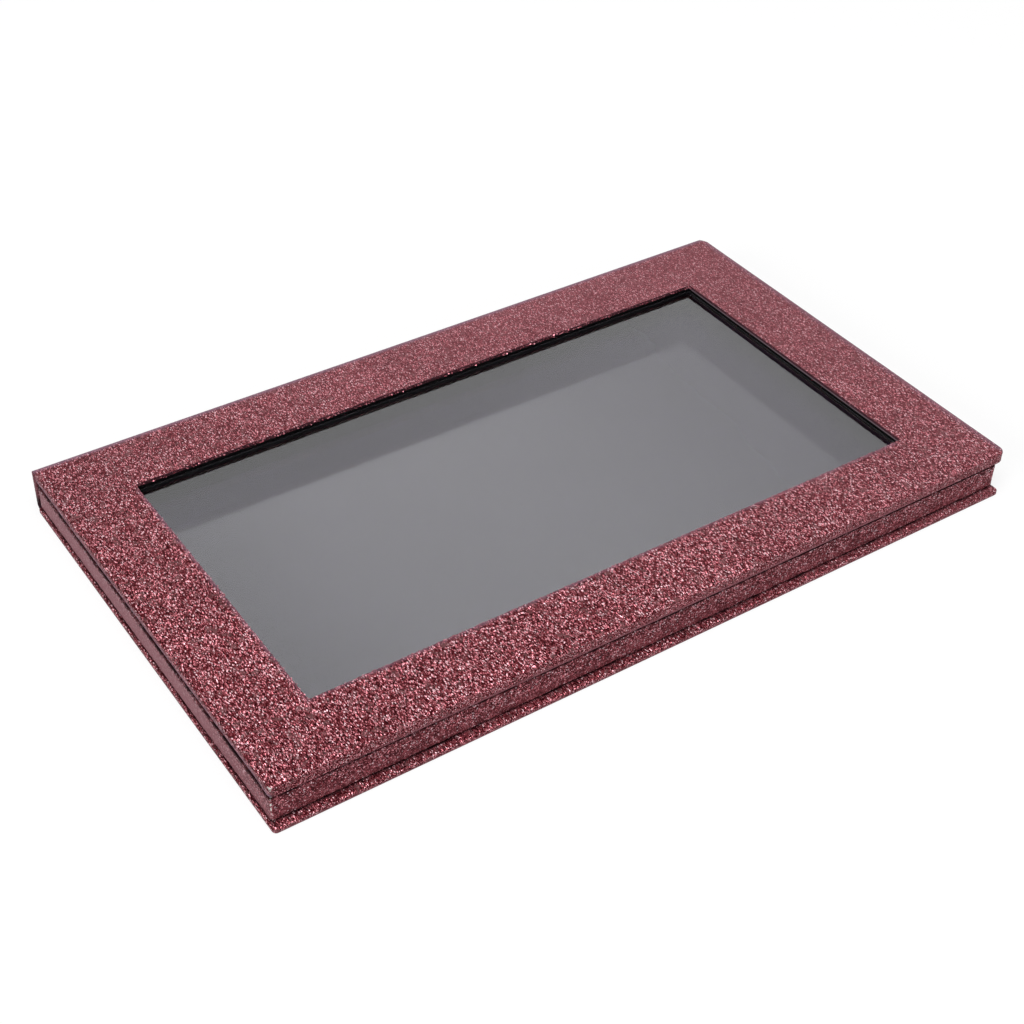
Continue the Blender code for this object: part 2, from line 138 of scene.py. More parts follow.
def ring(rect, corners, counts):
    """A rounded rectangle walked once round from its back left corner, down the left side first.

    Each side is a run of evenly spaced points and each corner is a quarter arc. The corners are
    the radii at the front left, at the front right and at the back.
    """
    left, right, front, back = rect
    f, g, b = corners
    run_x, run_y, turn = (np.arange(count) / count for count in counts)
    turn = turn * pi / 2

    def straight(start, end, run):
        return np.array(start) + run[:, None] * (np.array(end) - np.array(start))

    return np.concatenate([
        straight((left, back - b), (left, front + f), run_y),
        arc(left + f, front + f, f, pi + turn),
        straight((left + f, front), (right - g, front), run_x),
        arc(right - g, front + g, g, 1.5 * pi + turn),
        straight((right, front + g), (right, back - b), run_y),
        arc(right - b, back - b, b, turn),
        straight((right - b, back), (left + b, back), run_x),
        arc(left + b, back - b, b, 0.5 * pi + turn),
    ])


def even_ring(rect, corner, counts=FINE):
    """A rounded rectangle with four corners alike."""
    return ring(rect, (corner, corner, corner), counts)


def three_sides(counts):
    """How many points of a ring lie on its left, front and right sides, ends included."""
    along_x, along_y, turns = counts
    return 2 * along_y + along_x + 2 * turns + 1


def inset_rect(rect, amount, keep_back=False):
    """The rectangle moved in by an amount on every side, or on all but the back."""
    left, right, front, back = rect
    return left + amount, right - amount, front + amount, back - (0 if keep_back else amount)


def middle_line(outline, half):
    """An outline gathered to a line along X through the middle, of the given half length."""
    return np.stack([outline[:, 0].clip(-half, half), 0 * outline[:, 1]], 1)


def lifted(points, level):
    """Flat points given a height, one for all or one each."""
    return np.concatenate([points, np.broadcast_to(level, points.shape[:-1])[..., None]], -1)


def share_of(values, run):
    """Values as a share of a run, held between 0 and 1."""
    return np.clip(values / run, 0, 1)


def bell(values, middle, width):
    """A bell curve: 1 at the middle."""
    return np.exp(-((values - middle) / width) ** 2)


def quarter(steps):
    """Turns from 0 to a right angle."""
    return np.linspace(0, pi / 2, steps)


def rolled(radius, steps):
    """A quarter roll as pairs: how far it has gone, the radius times one minus the cosine, and how
    far it has left, the radius times one minus the sine."""
    return [(radius * (1 - cos(turn)), radius * (1 - sin(turn))) for turn in quarter(steps)]


def wave(points, period, depth, phase):
    """A soft dent from 0 to its depth: half of depth times one minus two crossed sine waves."""
    x, y = points[..., 0], points[..., 1]
    along = np.sin(2 * pi * x / period + phase)
    return depth * 0.5 * (1 - along * np.sin(2 * pi * y / (0.7 * period) + 2 * phase))


def dip(points):
    """Hollows of the lid's top: the board isn't quite flat under its paper."""
    return wave(points, 61 * MM, 0.04 * MM, 0.7) + wave(points, 17 * MM, 0.012 * MM, 2.1)


def grain(count, seed, blur=1):
    """Smooth random numbers from -1 to 1 round a closed ring: white noise averaged with its
    neighbours."""
    rough = np.random.default_rng(seed).uniform(-1, 1, count)
    kernel = np.hanning(2 * blur + 1)
    wrapped = np.concatenate([rough[-blur:], rough, rough[:blur]])
    soft = np.convolve(wrapped, kernel / kernel.sum(), "valid")
    return soft / max(np.abs(soft).max(), 1e-9)


def ragged(count, depth, seed, blur=1):
    """A ragged cut round a closed ring, from 0 to twice its depth."""
    return depth * (1 + grain(count, seed, blur))


def squares(rows, columns, closed, start):
    """Corner numbers of every square of a grid; a closed one joins its last column to its first."""
    number = start + np.arange(rows * columns).reshape(rows, columns)
    if closed:
        number = np.concatenate([number, number[:, :1]], 1)
    low, high = number[:-1], number[1:]
    return np.stack([low[:, :-1], low[:, 1:], high[:, 1:], high[:, :-1]], -1).reshape(-1, 4)


def new_object(name, data):
    """A mesh, a lamp or a camera put in the scene."""
    made = bpy.data.objects.new(name, data)
    bpy.context.scene.collection.objects.link(made)
    return made


def skin(name, grids, look, thickness=0.0, back=None):
    """One object from grids of points, each rows by columns by 3 and closed round or not.

    Grids that share an edge are merged along it, the faces are turned outwards, and the sheet gets
    its thickness inwards, with the look of the paper's back on its inner face and its cut edges.
    """
    points, faces, start = [], [], 0
    for grid, closed in grids:
        points.append(grid.reshape(-1, 3))
        faces.append(squares(*grid.shape[:2], closed, start))
        start += len(points[-1])
    mesh = bpy.data.meshes.new(name)
    mesh.from_pydata(np.concatenate(points), [], np.concatenate(faces))
    tidy = bmesh.new()
    tidy.from_mesh(mesh)
    bmesh.ops.remove_doubles(tidy, verts=tidy.verts, dist=0.002 * MM)
    bmesh.ops.dissolve_degenerate(tidy, edges=tidy.edges, dist=0.001 * MM)
    bmesh.ops.recalc_face_normals(tidy, faces=tidy.faces)
    tidy.to_mesh(mesh)
    tidy.free()
    turn_outwards(mesh)
    made = new_object(name, mesh)
    mesh.materials.append(look)
    if thickness:
        mesh.materials.append(back)
        wall = made.modifiers.new("paper thickness", "SOLIDIFY")
        wall.thickness, wall.offset, wall.use_even_offset = thickness, -1, True
        wall.material_offset = wall.material_offset_rim = 1
        settle(made)
        mesh = made.data
    mesh.polygons.foreach_set("use_smooth", np.ones(len(mesh.polygons), bool))
    mesh.set_sharp_from_angle(angle=radians(40))
    return made


def read(items, label, size=3, kind=float):
    """A value of every vertex or face of a mesh, one row each."""
    values = np.zeros(len(items) * size, kind)
    items.foreach_get(label, values)
    return values.reshape(-1, size)


def turn_outwards(mesh):
    """Flip a mesh whose faces, weighed by area, look towards its middle."""
    faces = mesh.polygons
    middles, areas = read(faces, "center"), read(faces, "area", 1)
    away = middles - (middles * areas).sum(0) / areas.sum()
    if (read(faces, "normal") * away * areas).sum() < 0:
        mesh.flip_normals()


def settle(made):
    """Make the result of the modifiers the object's own mesh."""
    bpy.context.view_layer.update()
    seen = made.evaluated_get(bpy.context.evaluated_depsgraph_get())
    whole = bpy.data.meshes.new_from_object(seen)
    made.modifiers.clear()
    made.data = whole


def places(made):
    """The object's vertices as rows of x, y and z, and each of these on its own."""
    at = read(made.data.vertices, "co", kind=np.float32)
    return at, *at.T


def mark(made, **marks):
    """Numbers for each vertex, kept in the mesh by name for the materials to read."""
    for name, values in marks.items():
        kept = made.data.attributes.new(name, "FLOAT", "POINT")
        kept.data.foreach_set("value", np.clip(values, 0, 1).astype(np.float32))


def near(points, corners, reach):
    """1 at any of the corners, fading as a bell curve with the distance over the reach."""
    far = np.linalg.norm(points[:, None] - np.array(corners), axis=2)
    return bell(far, 0, reach).max(1)


def flat_box(node):
    """A node of the frame: its left, right, front and back, its low and its high."""
    low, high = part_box(node)
    return (low.x, high.x, low.y, high.y), low.z, high.z


# Places taken from the frame
lid_rect, lid_low, lid_top = flat_box("lid_wrap")
base_rect, _, base_top = flat_box("base_wrap")
tray_rect, tray_low, tray_top = flat_box("tray_wrap")
spine_rect, spine_low, _ = flat_box("spine_wrap")
sheet_rect, sheet_low, sheet_top = flat_box("magnetic_sheet")
edging_rect, window_low, window_top = flat_box("window_edge_strip")
well_rect = inset_rect(flat_box("tray_lining")[0], PAPER + 0.05 * MM)
window_rect = inset_rect(edging_rect, EDGE_PAPER)
spine_back = spine_rect[3]
axis_y = spine_back - FOLD_RADIUS
lid_axis_z = lid_top - FOLD_RADIUS
base_axis_z = FOLD_RADIUS


def lid_ring(inset):
    """The lid's outline moved in by an amount; its front right corner is the rounder one."""
    corners = (max(radius - inset, 0.2 * MM) for radius in (LID_CORNER, LID_RIGHT_CORNER))
    return ring(inset_rect(lid_rect, inset, True), (*corners, 0), FINE)


def base_ring(inset):
    """The base's outline moved in by an amount, its back left where it is."""
    corner = max(BASE_CORNER - inset, 0.1 * MM)
    return ring(inset_rect(base_rect, inset, True), (corner, corner, 0), PLAIN)


def well_ring(spread):
    """The outline of the tray's well moved out by an amount."""
    return even_ring(inset_rect(well_rect, -spread), WELL_CORNER + spread)


def off_window(at):
    """For points near the window, one step away from its middle across the side they are on."""
    left, right, front, back = window_rect
    away = at - np.array([(left + right) / 2, (front + back) / 2])
    return np.sign(away) * (np.abs(away) > WINDOW_SIDES)


def hang_at(x, y):
    """How far the lid's paper hangs below its underside: it runs out along the left side."""
    along = share_of(y - lid_rect[2], LEFT_HANG_RUN)
    return LID_HANG * np.where(x < lid_rect[0] + MM, 1 - along, 1)


def step_drop(y):
    """How far below the tray's rim its outer step starts: further towards the back."""
    depth = share_of(y - tray_rect[2], tray_rect[3] - tray_rect[2])
    return TRAY_STEP_DROP + (TRAY_BACK_DROP - TRAY_STEP_DROP) * depth


def crease_strip(rect, level, rounding, axis_z, way, columns):
    """A crease: back from a cover's edge at a level, round the fold's quarter circle, and along the
    spine. Its ends move smoothly to the spine's ends. The way is 1 down and -1 up."""
    back = rect[3]
    path = [(back + (axis_y - back) * share, level) for share in (0, 0.25, 0.5, 0.75)]
    path += [(axis_y + FOLD_RADIUS * sin(turn), axis_z + way * FOLD_RADIUS * cos(turn))
             for turn in quarter(11)]
    path += [(spine_back, axis_z - way * FOLD_LIP * share) for share in (0.33, 0.66, 1)]
    path = np.array(path)
    share = np.linspace(0, 3, len(path)).clip(0, 1)
    share = share * share * (3 - 2 * share)
    start = (rect[0] + rounding, rect[1] - rounding)
    end = (spine_rect[0] + 0.1 * MM, spine_rect[1] - 0.1 * MM)
    left, right = (start[side] + (end[side] - start[side]) * share for side in (0, 1))
    x = left[:, None] + (right - left)[:, None] * np.linspace(1, 0, columns + 1)[None, :]
    y, z = (np.broadcast_to(path[:, axis:axis + 1], x.shape) for axis in (0, 1))
    return np.stack([x, y, z], -1)


def fold_cap(band_end, strip_end, level):
    """The closed end of a fold: straight lines from its edge to the middle of the roll."""
    edge = np.concatenate([band_end, strip_end])
    middle = np.array([edge[:, 0].mean(), axis_y, level])
    share = np.linspace(0, 1, 4)[:, None, None]
    return (1 - share) * edge + share * middle


def lid_surface():
    """The lid's paper as five grids.

    The top is blended from the window's cut edge to the lid's edge, the band rolls over three
    sides and turns in below, and the crease strip runs back, round the fold and down the spine,
    with both its ends closed.
    """
    cut = even_ring(np.add(window_rect, CUT_SHIFT), WINDOW_CORNER)
    count = len(cut)
    calm = np.where(cut[:, 0] > window_rect[1] - MM, 0.35, 1)
    frayed = (0.07 * MM * grain(count, seed=3) + 0.05 * MM * grain(count, seed=4, blur=6)) * calm
    cut = cut + off_window(cut) * frayed[:, None]
    edge = lid_ring(LID_TOP_ROUND)
    across = np.linspace(0, 1, 15)[:, None, None] ** 1.4
    flat = (1 - across) * cut + across * edge
    pressed = 0.05 * MM * np.exp(-across[..., 0] * 22) * (0.6 + 0.4 * grain(count, seed=5, blur=3))
    top = lifted(flat, lid_top - dip(flat) - pressed)

    rows = []
    for turn in quarter(5):
        shape = lid_ring(LID_TOP_ROUND * (1 - sin(turn)))
        drop = LID_TOP_ROUND * (1 - cos(turn))
        rows.append(lifted(shape, lid_top - drop - dip(shape) * cos(turn)))
    roll = LID_HEM / 2
    hang = hang_at(edge[:, 0], edge[:, 1])
    high, low = lid_top - LID_TOP_ROUND, lid_low - hang + roll
    cuts = ragged(count, 0.05 * MM, seed=7, blur=30) + ragged(count, 0.045 * MM, seed=8)
    cuts = cuts * (0.4 + 0.6 * hang / LID_HANG)
    for share in (0.3, 0.6, 1):
        shape = lid_ring(LID_SWELL * sin(pi * share))
        rows.append(lifted(shape, high + (low - high) * share + cuts * share))
    for turn in np.linspace(0, pi, 6)[1:]:
        shape = lid_ring(roll * (1 - cos(turn)))
        rows.append(lifted(shape, low - roll * sin(turn) + cuts))
    rows.append(lifted(lid_ring(LID_HEM), lid_low - HANG_LEFT * hang))
    rows += [lifted(lid_ring(inset), lid_low) for inset in (LID_HEM + 0.2 * MM, 5 * MM, TURN_IN)]
    band = np.stack(rows)[:, :three_sides(FINE)]

    strip = crease_strip(lid_rect, lid_top, LID_TOP_ROUND, lid_axis_z, 1, FINE[0])
    strip[..., 2] -= dip(strip) * share_of(axis_y - strip[..., 1], axis_y - lid_rect[3])
    ends = [fold_cap(band[7:0:-1, side], strip[:, along], lid_axis_z)
            for side, along in ((-1, 0), (0, -1))]
    return [(top, True)] + [(grid, False) for grid in (band, strip, *ends)]


def base_surface():
    """The base's paper: the underside gathered to a middle line, the band round three sides and
    its turn-in, and the crease strip that runs back and up round the lower fold, closed at its
    right end; its left end is open."""
    under = base_ring(BASE_ROUND)
    outline = even_ring(inset_rect(base_rect, BASE_ROUND, True), BASE_CORNER - BASE_ROUND, PLAIN)
    across = np.linspace(0, 1, 9)[:, None, None]
    bottom = lifted((1 - across) * middle_line(outline, BASE_LINE) + across * under, 0)
    cuts = ragged(len(under), 0.05 * MM, seed=11, blur=12) / 2
    roll = rolled(BASE_ROUND, 5)
    rows = [lifted(base_ring(left), gone) for gone, left in roll]
    rows += [lifted(base_ring(gone), base_top - left - cuts) for gone, left in roll]
    rows += [lifted(base_ring(inset), base_top - cuts) for inset in (*BASE_ROWS, TURN_IN)]
    band = np.stack(rows)[:, :three_sides(PLAIN)]
    strip = crease_strip(base_rect, 0, BASE_ROUND, base_axis_z, -1, PLAIN[0])
    right_end = fold_cap(band[9:0:-1, -1], strip[:, 0], base_axis_z)
    return [(bottom, True)] + [(grid, False) for grid in (band, strip, right_end)]


def tray_surface():
    """The tray's paper, ring by ring: out of a hollow at its foot, up the outside, in over a step
    that the lid's paper hangs before, over the rim, and a little way down inside."""
    wall = even_ring(tray_rect, TRAY_CORNER)
    inward = (even_ring(inset_rect(tray_rect, MM), TRAY_CORNER) - wall) / MM
    count = len(wall)
    cut = tray_low + TRAY_CUT + ragged(count, 0.13 * MM, seed=21)
    cut = cut + ragged(count, 0.13 * MM, seed=23, blur=8)
    drop = step_drop(wall[:, 1])
    rim = ragged(count, 0.02 * MM, seed=22, blur=20)

    def moved(inset, level):
        return lifted(wall + inward * np.broadcast_to(inset, count)[:, None], level)

    rows = [moved(TRAY_FOOT_DEPTH, tray_low), moved(TRAY_FOOT_DEPTH, cut - 0.04 * MM),
            moved(0.07 * MM, cut - 0.02 * MM), moved(0, cut + TRAY_CUT_LIP)]
    top = tray_top - drop
    for share in (0.12, 0.3, 0.5, 0.7, 0.88, 1):
        swell = ragged(count, 0.03 * MM * sin(pi * share), seed=24, blur=60)
        rows.append(moved(swell, cut + TRAY_CUT_LIP + (top - cut - TRAY_CUT_LIP) * share))
    for turn in quarter(5)[1:]:
        level = top + (drop - TRAY_STEP_ROUND) * sin(turn)
        rows.append(moved(TRAY_STEP * (1 - cos(turn)), level))
    roll = rolled(WELL_ROUND, 4)
    rows += [moved(TRAY_STEP + gone, tray_top - left - rim) for gone, left in roll]
    outer, inner = rows[-1][:, :2], well_ring(WELL_ROUND)
    for share in (0.33, 0.66, 1):
        rows.append(lifted((1 - share) * outer + share * inner, tray_top - rim))
    rows += [lifted(well_ring(left), tray_top - gone - rim) for gone, left in roll[1:]]
    for share in (0.5, 1):
        depth = (TRAY_TURN_DOWN - WELL_ROUND) * share
        rows.append(lifted(well_ring(0), tray_top - WELL_ROUND - depth - rim * (1 - share)))
    return [(np.stack(rows), True)]


def spine_surface():
    """The spine's paper: a path in X and Y round both ends of the spine board, carried up Z. Above
    the lip of the lid's crease its back steps in, and its ends run up to the fold."""
    left, right, front, back = spine_rect
    r = SPINE_END_ROUND
    turn = quarter(5)

    def straight(start, end, y, count):
        return np.stack([np.linspace(start, end, count), np.full(count, y)], 1)

    path = np.concatenate([
        straight(left + SPINE_FLAP, left + r, front, 12)[:-1],
        arc(left + r, front + r, r, 1.5 * pi - turn), arc(left + r, back - r, r, pi - turn),
        straight(left + r, right - r, back, 201)[1:-1],
        arc(right - r, back - r, r, 0.5 * pi - turn), arc(right - r, front + r, r, -turn),
        straight(right - r, right - SPINE_FLAP, front, 12)[1:],
    ])
    low, high = base_axis_z + FOLD_LIP, lid_axis_z - FOLD_LIP
    levels = np.concatenate([np.linspace(low, high - 0.02 * MM, 9),
                             [high, lid_axis_z - 0.5 * MM, lid_axis_z - 0.1 * MM]])
    grid = np.stack([lifted(path, level) for level in levels])
    hollow = SPINE_HOLLOW * np.sin(pi * (levels - low) / (high - low)).clip(0)[:, None]
    at_back = grid[..., 1] > (front + back) / 2
    grid[..., 1] -= hollow * at_back * (1 + np.sin(grid[..., 0] * 90)) / 2
    grid[9:, :, 1] = np.minimum(grid[9:, :, 1], back - PAPER - 0.03 * MM)
    return [(grid, False)]


def edge_surface():
    """The black edging of the window: a closed profile carried round the ring, with a thin lip."""
    wide = EDGE_PAPER / MM
    profile = [(0, 0), (0, 0.35), (0, 0.50), (-0.03, 0.545), (-0.06, 0.58), (-0.04, 0.615),
               (0, 0.65), (0, 0.8), (0, 0.9), (0, 1), (wide, 1), (wide, 0),
               (0, 0)]
    loose = 0.05 * MM * grain(len(even_ring(window_rect, WINDOW_CORNER)), seed=31, blur=25)
    rows = []
    for out, share in profile:
        shape = even_ring(inset_rect(window_rect, -out * MM), WINDOW_CORNER)
        level = window_low + (window_top - window_low) * share
        rows.append(lifted(shape, level + loose * (0.4 < share < 0.9)))
    return [(np.stack(rows), True)]


def sheet_surface():
    """The magnetic sheet: rings from the middle line under it, round its cut edge, to the middle
    line on top, its top crowned as one minus the fourth power of the share from the middle."""
    edge = even_ring(sheet_rect, WELL_CORNER, PLAIN)
    inner = even_ring(inset_rect(sheet_rect, SHEET_ROUND), WELL_CORNER, PLAIN)
    line = middle_line(edge, SHEET_LINE)
    rows = [lifted((1 - share) * line + share * inner, sheet_low) for share in (0, 0.5, 1)]
    rows += [lifted(edge, sheet_low + SHEET_ROUND),
             lifted(edge, sheet_top - SHEET_CROWN - SHEET_ROUND)]
    for share in np.linspace(1, 0, 25):
        flat = (1 - share) * line + share * inner
        rows.append(lifted(flat, sheet_top - SHEET_CROWN * share**4))
    return [(np.stack(rows), True)]


def flakes(count, seed):
    """Loose glitter along the window's cut edge: flat six-sided flakes, each turned at random.

    A flake is two low points over a ring of six, turned by the cross product frame of its axis.
    """
    rng = np.random.default_rng(seed)
    path = even_ring(window_rect, WINDOW_CORNER)
    at_front, at_back = path[:, 1] < window_rect[2] + MM, path[:, 1] > window_rect[3] - MM
    at_right = path[:, 0] > window_rect[1] - MM
    likely = np.select([at_front, at_back, at_right], [2.6, 2.4, 1.4], 1)
    deep = np.select([at_back, at_right], [3.2, 1.8], 1)
    index = rng.choice(len(path), count, p=likely / likely.sum())
    step = path[(index + 1) % len(path)] - path[index]
    spot = path[index] + step * rng.uniform(0, 1, count)[:, None]
    drift = rng.normal(0.10, 0.16, count) - 0.14 * at_back[index]
    spot = spot + off_window(spot) * drift[:, None] * MM
    centre = lifted(spot, lid_top - rng.uniform(0.04, 0.30, count) * deep[index] * MM)
    size = rng.uniform(0.06, 0.14, count) * np.where(at_back[index], 1.9, 1) * MM
    axis = np.stack([rng.normal(0, 0.5, count), rng.normal(0, 0.5, count), np.ones(count)], 1)
    axis /= np.linalg.norm(axis, axis=1)[:, None]
    one = np.cross(axis, np.array([1.0, 0, 0.0]))
    one /= np.linalg.norm(one, axis=1)[:, None]
    two = np.cross(axis, one)
    turn = (np.arange(6) / 6 * 2 * pi)[:, None]
    rim = one[:, None] * np.cos(turn) + two[:, None] * np.sin(turn)
    rim = centre[:, None] + rim * size[:, None, None]
    tips = [(centre + way * axis * FLAKE_THICK)[:, None] for way in (1, -1)]
    points = np.concatenate([rim, *tips], 1)
    points[..., 2] = np.minimum(points[..., 2], lid_top)
    corner = np.arange(6)
    after = (corner + 1) % 6
    fan = np.concatenate([np.stack([corner, after, np.full(6, 6)], 1),
                          np.stack([after, corner, np.full(6, 7)], 1)])
    faces = (np.arange(count)[:, None, None] * 8 + fan).reshape(-1, 3)
    return points.reshape(-1, 3), faces


# Materials

def srgb(red, green, blue, gain=1.0):
    """A colour read as 0 to 255 on screen, as the plain numbers that shaders take."""
    shown = np.array([red, green, blue]) / 255
    plain = np.where(shown <= 0.04045, shown / 12.92, ((shown + 0.055) / 1.055) ** 2.4)
    return (*np.clip(plain * gain, 0, 1), 1)


def add(tree, kind, plugs=(), **settings):
    """A shader node, its settings, and its sockets, by name or in their order, set or joined."""
    made = tree.nodes.new("ShaderNode" + kind)
    for name, value in settings.items():
        setattr(made, name, value)
    for name, value in plugs.items() if isinstance(plugs, dict) else enumerate(plugs):
        if isinstance(value, bpy.types.NodeSocket):
            tree.links.new(value, made.inputs[name])
        else:
            made.inputs[name].default_value = value
    return made


def figure(tree, operation, one, two):
    """The result of a sum on two values."""
    return add(tree, "Math", (one, two), operation=operation).outputs[0]


def times(tree, one, two):
    """Two values multiplied."""
    return figure(tree, "MULTIPLY", one, two)


def largest(tree, value, *others):
    """The largest of some values."""
    for other in others:
        value = figure(tree, "MAXIMUM", value, other)
    return value


def vector(tree, operation, plugs, result=0):
    """The result of a sum on vectors."""
    return add(tree, "VectorMath", plugs, operation=operation).outputs[result]


def joined(tree, x, y, z):
    """Three values as a vector or a colour."""
    return add(tree, "CombineXYZ", (x, y, z)).outputs[0]


def between(tree, value, low, high, first=0.0, last=1.0):
    """A value eased from first at low to last at high."""
    plugs = value, low, high, first, last
    return add(tree, "MapRange", plugs, interpolation_type="SMOOTHSTEP").outputs[0]


def spread(tree, value, first, last):
    """Noise, which lies mostly from 0.3 to 0.7, eased from first to last."""
    return between(tree, value, 0.3, 0.7, first, last)


def blend_colour(tree, share, one, two, way="MIX"):
    """Two colours mixed by a share."""
    plugs = {0: share, 6: one, 7: two}
    return add(tree, "Mix", plugs, data_type="RGBA", blend_type=way).outputs[2]


def layered(tree, colour, *layers):
    """A colour under layers, each a share and a colour of its own."""
    for share, shade in layers:
        colour = blend_colour(tree, share, colour, shade)
    return colour


def colour_run(tree, value, stops):
    """A value turned to a colour by a run of stops."""
    made = add(tree, "ValToRGB", (value,))
    run = made.color_ramp.elements
    run[0].position, run[0].color = stops[0]
    run[1].position, run[1].color = stops[-1]
    for place, colour in stops[1:-1]:
        run.new(place).color = colour
    return made.outputs[0]


def noise(tree, where, size, detail=2.0, roughness=0.5):
    """Noise whose blots are about the given size across, a value or another's output."""
    fixed = not isinstance(size, bpy.types.NodeSocket)
    scale = 1 / size if fixed else figure(tree, "DIVIDE", 1, size)
    plugs = {"Vector": where, "Scale": scale, "Detail": detail, "Roughness": roughness}
    return add(tree, "TexNoise", plugs).outputs[0]


def bumped(tree, height, strength, distance):
    """A normal leaned by the slope of a height."""
    plugs = {"Strength": strength, "Distance": distance, "Height": height}
    return add(tree, "Bump", plugs).outputs[0]


def group(name, numbers, outs):
    """A shader node group that takes a place and named numbers; returns it with both its ends."""
    tree = bpy.data.node_groups.new(name, "ShaderNodeTree")
    new_socket = tree.interface.new_socket
    new_socket("Where", in_out="INPUT", socket_type="NodeSocketVector")
    for label, value in numbers.items():
        new_socket(label, in_out="INPUT", socket_type="NodeSocketFloat").default_value = value
    for label, kind in outs.items():
        new_socket(label, in_out="OUTPUT", socket_type="NodeSocket" + kind)
    ends = tree.nodes.new("NodeGroupInput").outputs, tree.nodes.new("NodeGroupOutput").inputs
    return tree, *ends


def flake_group():
    """Glitter flakes: cells of a given size, each with a rank from 0 to 1 and a tilt of its own."""
    numbers = {"Cell": 0.2 * MM, "Stretch": 1.5, "Tilt": 0.3, "Seed": 0}
    outs = {"Rank": "Float", "Normal": "Vector", "Reach": "Float"}
    tree, given, result = group("glitter flakes", numbers, outs)
    scale = joined(tree, 1, figure(tree, "DIVIDE", 1, given["Stretch"]), 1)
    spot = vector(tree, "MULTIPLY", (given["Where"], scale))
    shift = joined(tree, given["Seed"], given["Seed"], 0)
    spot = vector(tree, "ADD", (spot, shift))
    size = figure(tree, "DIVIDE", 1, given["Cell"])
    cells = add(tree, "TexVoronoi", {"Vector": spot, "Scale": size}).outputs
    rank = add(tree, "TexWhiteNoise", {"Vector": cells["Position"]})
    lean = vector(tree, "SUBTRACT", (cells["Color"], (0.5, 0.5, 0.5)))
    lean = vector(tree, "SCALE", {0: lean, "Scale": given["Tilt"]})
    facing = add(tree, "NewGeometry").outputs["Normal"]
    leaned = vector(tree, "NORMALIZE", (vector(tree, "ADD", (facing, lean)),))
    tree.links.new(rank.outputs[0], result["Rank"])
    tree.links.new(leaned, result["Normal"])
    tree.links.new(cells["Distance"], result["Reach"])
    return tree


def worn_group():
    """Wear: where bends are rubbed dull, and where corners are chipped down to the paper's core."""
    numbers = {"Bend": 0, "Corner": 0, "Grain": 0.6 * MM}
    outs = {"Rubbed": "Float", "Chipped": "Float"}
    tree, given, result = group("worn edges", numbers, outs)
    coarse = noise(tree, given["Where"], given["Grain"], 3.0, 0.6)
    rubbed = figure(tree, "ADD", times(tree, given["Bend"], 0.55), coarse)
    chipped = figure(tree, "ADD", times(tree, given["Corner"], 0.5), coarse)
    tree.links.new(between(tree, rubbed, 0.62, 0.95), result["Rubbed"])
    tree.links.new(between(tree, chipped, 0.86, 0.93), result["Chipped"])
    return tree


def material(name):
    """A new empty material, its tree, and the piece's own place in the row frame."""
    made = bpy.data.materials.new(name)
    made.use_nodes = True
    tree = made.node_tree
    tree.nodes.clear()
    return made, tree, add(tree, "TexCoord").outputs["Object"]


def finished(made, shader):
    """The material with this shader on its surface."""
    add(made.node_tree, "OutputMaterial", (shader.outputs[0],))
    return made


def surfaced(made, colour, rough, plugs):
    """The material with a surface of this colour, roughness and other values."""
    plugs = {"Base Color": colour, "Roughness": rough, **plugs}
    return finished(made, add(made.node_tree, "BsdfPrincipled", plugs))


def placed(tree, shared, *values):
    """A shared group placed in a material, its inputs set in their order."""
    return add(tree, "Group", values, node_tree=shared).outputs


def picked(tree, glitter, ranks, reach):
    """The share of the flakes from one rank on to another, each out to a reach."""
    return times(tree, between(tree, glitter["Rank"], *ranks),
                 between(tree, glitter["Reach"], *reach))


def attribute(tree, name):
    """A number kept in the mesh."""
    return add(tree, "Attribute", attribute_name=name).outputs["Fac"]


FLAKES = flake_group()
WORN = worn_group()

# Glitter colours from the darkest flake to the brightest
GLITTER_RUN = [(0, (12, 0, 0)), (0.22, (42, 0, 3)), (0.45, (92, 26, 33)), (0.70, (130, 60, 67)),
               (0.80, (150, 80, 88)), (0.88, (236, 136, 147)), (0.93, (255, 160, 172)),
               (1, (255, 190, 200))]
# Painted glints: the near-white pink of the big bright flakes
PAINTED_GLINT_PINK = (255, 206, 214)
DEEP_MAROON = srgb(44, 8, 14)
DULL_OLIVE = srgb(108, 74, 76)
PLAIN_MAUVE = srgb(141, 87, 94)
TRAY_MAUVE = srgb(126, 68, 75)
# Rubbed bends; on the lid's sides and hem this pale mauve is partly painted sheen
RUB_AND_SHEEN_MAUVE = srgb(138, 86, 94)
# Painted sheen on the tray's left wall
PAINTED_SHEEN_MAUVE = srgb(144, 99, 106)
# Painted sheen on the rolls of the creases and edges
PAINTED_SHEEN_GREY = srgb(132, 104, 120)
# Painted shade: the near-black of the hollow mark in gaps, creases and recesses
PAINTED_SHADE_BLACK = srgb(26, 9, 13)
CORE_WHITE = srgb(224, 219, 214)
# Painted highlight along the lip of the window's edging
LIP_HIGHLIGHT_GREY = srgb(140, 122, 130)
# Glitter paper turned in at the window, darkened as painted shade
SHADED_PAPER_MAROON = srgb(70, 40, 47)
STRAY_PINK = srgb(150, 70, 80)


